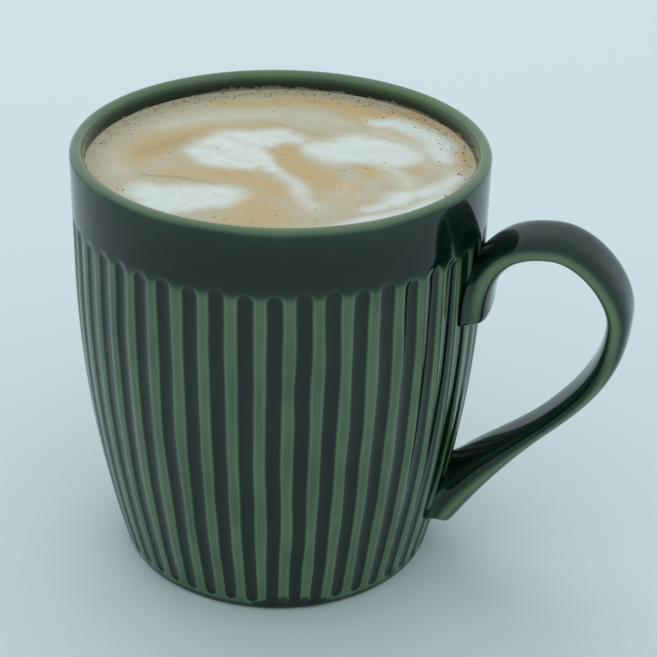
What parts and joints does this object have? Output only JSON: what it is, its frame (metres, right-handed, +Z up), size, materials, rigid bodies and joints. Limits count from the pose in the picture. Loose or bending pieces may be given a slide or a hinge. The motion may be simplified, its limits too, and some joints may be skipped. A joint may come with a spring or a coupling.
{
  "type": "latte in a mug",
  "caption": "Milky coffee with marbled foam, filled to just below the lip of a round fluted green mug with one strap handle.",
  "frame": {"origin": "centre of the mug's foot, on the surface that it stands on", "axes": "+Z up along the mug's axis, +X towards the handle, +Y to the left of someone who looks along +X"},
  "size_m": [0.121, 0.0884, 0.096],
  "materials": {
    "glazed_stoneware": "gloss",
    "milk_foam": "matte"
  },
  "bodies": {
    "root": {"mug": "glazed_stoneware", "latte": "milk_foam"}
  },
  "joints": []
}
